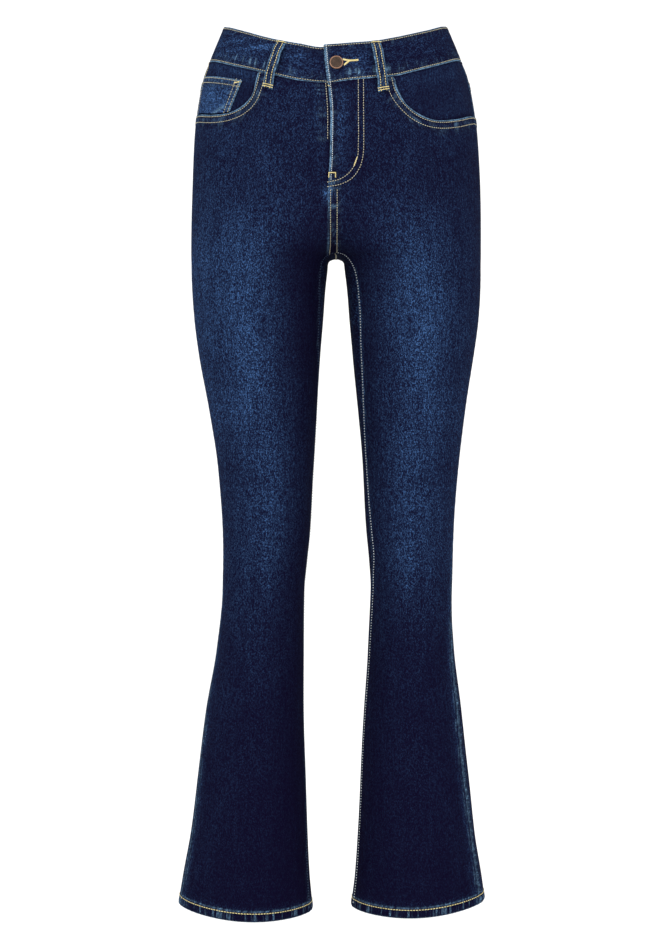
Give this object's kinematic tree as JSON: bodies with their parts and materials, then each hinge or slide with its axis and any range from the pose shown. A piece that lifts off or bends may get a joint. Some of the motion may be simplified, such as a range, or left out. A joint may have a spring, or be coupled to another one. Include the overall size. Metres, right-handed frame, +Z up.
{
  "type": "bootcut jeans",
  "caption": "Mid-rise bootcut jeans in dark faded denim, worn shape and hollow, with slanted front pockets, a coin pocket, a zip fly and a metal button.",
  "frame": {"origin": "middle of the waist opening, level with the middle of the waistband over the side seams", "axes": "+Z up, -Y the front, +X the wearer's left"},
  "size_m": [0.3617, 0.2568, 1.0465],
  "materials": {
    "denim": "dark indigo denim twill, matte, faded along the thighs and edges",
    "pocket_denim": "dark indigo denim twill, matte, unfaded",
    "antique_copper": "antique copper, brushed and dulled",
    "zip_metal": "antique brass zip"
  },
  "bodies": {
    "root": {"front_left": "denim", "front_right": "denim", "back_left": "denim", "back_right": "denim", "yoke_left": "denim", "yoke_right": "denim", "waistband": "denim", "pocket_facing_left": "pocket_denim", "pocket_facing_right": "pocket_denim", "coin_pocket": "denim", "back_pocket_left": "denim", "back_pocket_right": "denim", "belt_loop_front_left": "denim", "belt_loop_front_right": "denim", "belt_loop_back_left": "denim", "belt_loop_back_right": "denim", "belt_loop_centre_back": "denim", "zip": "zip_metal", "fly_shield": "denim", "button": "antique_copper"}
  },
  "joints": []
}
